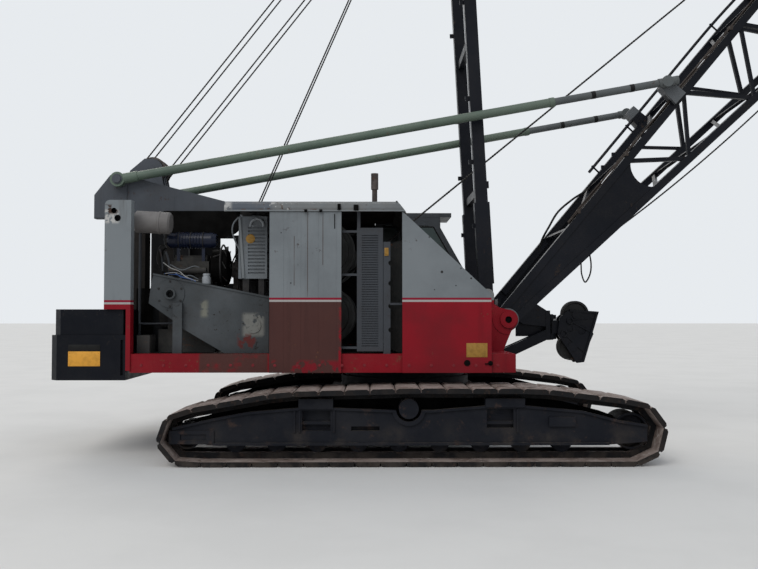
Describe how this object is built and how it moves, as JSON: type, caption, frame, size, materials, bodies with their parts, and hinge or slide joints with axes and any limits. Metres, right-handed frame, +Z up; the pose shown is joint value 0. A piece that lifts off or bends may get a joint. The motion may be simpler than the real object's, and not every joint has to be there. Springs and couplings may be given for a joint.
{
  "type": "crawler crane with lattice boom",
  "caption": "Old crawler crane: track undercarriage, swinging machinery house with cab and open engine bay, gantry, live mast, boom stops, fairlead and lattice boom.",
  "frame": {"origin": "middle of the whole machine's footprint box, on the ground", "axes": "+X forward along the boom, +Y to the machine's left, +Z up; the slewing axis is 2.824 m behind the origin"},
  "size_m": [14.3779, 4.26, 10.8296],
  "materials": {
    "frame_black": "weathered blue-black paint with rust and dirt",
    "track_steel": "rusted and polished flat shoes",
    "red_paint": "faded gloss paint with chips",
    "black_paint": "weathered semi-gloss paint",
    "grey_paint": "faded paint with streaks and rust",
    "beige_paint": "dusty heat-worn paint",
    "engine_iron": "oily grey iron",
    "rusty_steel": "rust",
    "worn_steel": "bare worn steel with light rust",
    "rope_steel": "greased wire rope",
    "green_paint": "chalky pale green paint",
    "glass": "aged greenish safety glass",
    "seat_black": "worn black vinyl"
  },
  "bodies": {
    "crawler": {"carbody": "frame_black", "side_frame_right": "frame_black", "side_frame_left": "frame_black", "track_right": "track_steel", "track_left": "track_steel", "wheels_right": "frame_black", "wheels_left": "frame_black", "turntable_ring": "frame_black"},
    "upper": {"deck": "red_paint", "counterweight_lower": "black_paint", "counterweight_upper": "black_paint", "gantry": "grey_paint", "roof": "grey_paint", "right_rear_post": "grey_paint", "right_door_panel": "grey_paint", "right_front_panel": "grey_paint", "left_wall": "grey_paint", "left_rear_post": "grey_paint", "front_wall": "grey_paint", "engine": "engine_iron", "air_cleaner": "black_paint", "muffler": "beige_paint", "radiator": "grey_paint", "gear_case": "grey_paint", "bay_louvre": "grey_paint", "exhaust_stack": "rusty_steel", "drum_stand": "grey_paint", "cab_shell": "grey_paint", "cab_glass": "glass", "cab_seat": "seat_black", "fairlead_arms": "black_paint"},
    "lower_drum": {"lower_drum": "worn_steel"},
    "upper_drum": {"upper_drum": "worn_steel"},
    "cab_door": {"cab_door": "grey_paint", "door_glass": "glass"},
    "fairlead_head": {"fairlead_head": "black_paint"},
    "fairlead_upper_sheave": {"fairlead_upper_sheave": "worn_steel"},
    "fairlead_lower_sheave": {"fairlead_lower_sheave": "worn_steel"},
    "gantry_sheaves": {"gantry_sheaves": "worn_steel"},
    "boom": {"boom_base": "black_paint", "boom_tip": "black_paint"},
    "point_sheaves": {"point_sheaves": "worn_steel"},
    "mast": {"mast": "black_paint"},
    "mast_sheaves": {"mast_sheaves": "worn_steel"},
    "stop_tube_right": {"stop_tube_right": "green_paint"},
    "stop_tube_left": {"stop_tube_left": "green_paint"},
    "stop_rod_right": {"stop_rod_right": "green_paint"},
    "stop_rod_left": {"stop_rod_left": "green_paint"},
    "pendants": {"pendants": "rope_steel"}
  },
  "joints": [
    {"name": "swing", "type": "hinge", "parent": "crawler", "child": "upper", "pos_m": [-2.824, 0, 1.045], "axis": [0, 0, 1], "continuous": true},
    {"name": "boom_hoist", "type": "hinge", "parent": "upper", "child": "boom", "pos_m": [-1.504, 0, 1.68], "axis": [0, -1, 0], "range_deg": [-26.5, 29.5]},
    {"name": "mast_pivot", "type": "hinge", "parent": "upper", "child": "mast", "pos_m": [-1.764, 0, 2], "axis": [0, -1, 0], "range_deg": [-27.84, 30.98]},
    {"name": "pendant_pivot", "type": "hinge", "parent": "boom", "child": "pendants", "pos_m": [6.89393, 0, 10.52957], "axis": [0, -1, 0], "range_deg": [-0.512, 0.461]},
    {"name": "stop_tube_right_pivot", "type": "hinge", "parent": "upper", "child": "stop_tube_right", "pos_m": [-6.579, -0.9, 3.5], "axis": [0, -1, 0], "range_deg": [-9.5, 10.57]},
    {"name": "stop_tube_left_pivot", "type": "hinge", "parent": "upper", "child": "stop_tube_left", "pos_m": [-6.579, 0.9, 3.5], "axis": [0, -1, 0], "range_deg": [-9.5, 10.57]},
    {"name": "stop_rod_right_slide", "type": "slide", "parent": "stop_tube_right", "child": "stop_rod_right", "axis": [0.984, 0, 0.1782], "range_m": [-1.3706, 1.2313]},
    {"name": "stop_rod_left_slide", "type": "slide", "parent": "stop_tube_left", "child": "stop_rod_left", "axis": [0.984, 0, 0.1782], "range_m": [-1.3706, 1.2313]},
    {"name": "point_sheaves_spin", "type": "hinge", "parent": "boom", "child": "point_sheaves", "pos_m": [6.89393, 0, 10.52957], "axis": [0, 1, 0], "continuous": true},
    {"name": "mast_sheaves_spin", "type": "hinge", "parent": "mast", "child": "mast_sheaves", "pos_m": [-2.14796, 0, 9.08961], "axis": [0, 1, 0], "continuous": true},
    {"name": "gantry_sheaves_spin", "type": "hinge", "parent": "upper", "child": "gantry_sheaves", "pos_m": [-6.324, 0, 3.75], "axis": [0, 1, 0], "continuous": true},
    {"name": "lower_drum_spin", "type": "hinge", "parent": "upper", "child": "lower_drum", "pos_m": [-3.879, 0, 1.735], "axis": [0, 1, 0], "continuous": true},
    {"name": "upper_drum_spin", "type": "hinge", "parent": "upper", "child": "upper_drum", "pos_m": [-3.879, 0, 2.57], "axis": [0, 1, 0], "continuous": true},
    {"name": "cab_door_swing", "type": "hinge", "parent": "upper", "child": "cab_door", "pos_m": [-2.374, 1.6345, 1.3], "axis": [0, 0, 1], "range_deg": [-100, 0]},
    {"name": "fairlead_swivel", "type": "hinge", "parent": "upper", "child": "fairlead_head", "pos_m": [-0.764, 0, 1.57], "axis": [0, 0, 1], "range_deg": [-25, 25]},
    {"name": "fairlead_upper_spin", "type": "hinge", "parent": "fairlead_head", "child": "fairlead_upper_sheave", "pos_m": [-0.434, 0, 1.745], "axis": [0, 1, 0], "continuous": true},
    {"name": "fairlead_lower_spin", "type": "hinge", "parent": "fairlead_head", "child": "fairlead_lower_sheave", "pos_m": [-0.494, 0, 1.295], "axis": [0, 1, 0], "continuous": true}
  ],
  "couplings": [
    {"joint": "mast_pivot", "follows": "boom_hoist", "ratio": 1.05},
    {"joint": "pendant_pivot", "follows": "boom_hoist", "ratio": -0.017},
    {"joint": "stop_tube_right_pivot", "follows": "boom_hoist", "ratio": 0.358},
    {"joint": "stop_tube_left_pivot", "follows": "boom_hoist", "ratio": 0.358},
    {"joint": "stop_rod_right_slide", "follows": "boom_hoist", "m_per_rad": -2.66},
    {"joint": "stop_rod_left_slide", "follows": "boom_hoist", "m_per_rad": -2.66}
  ]
}
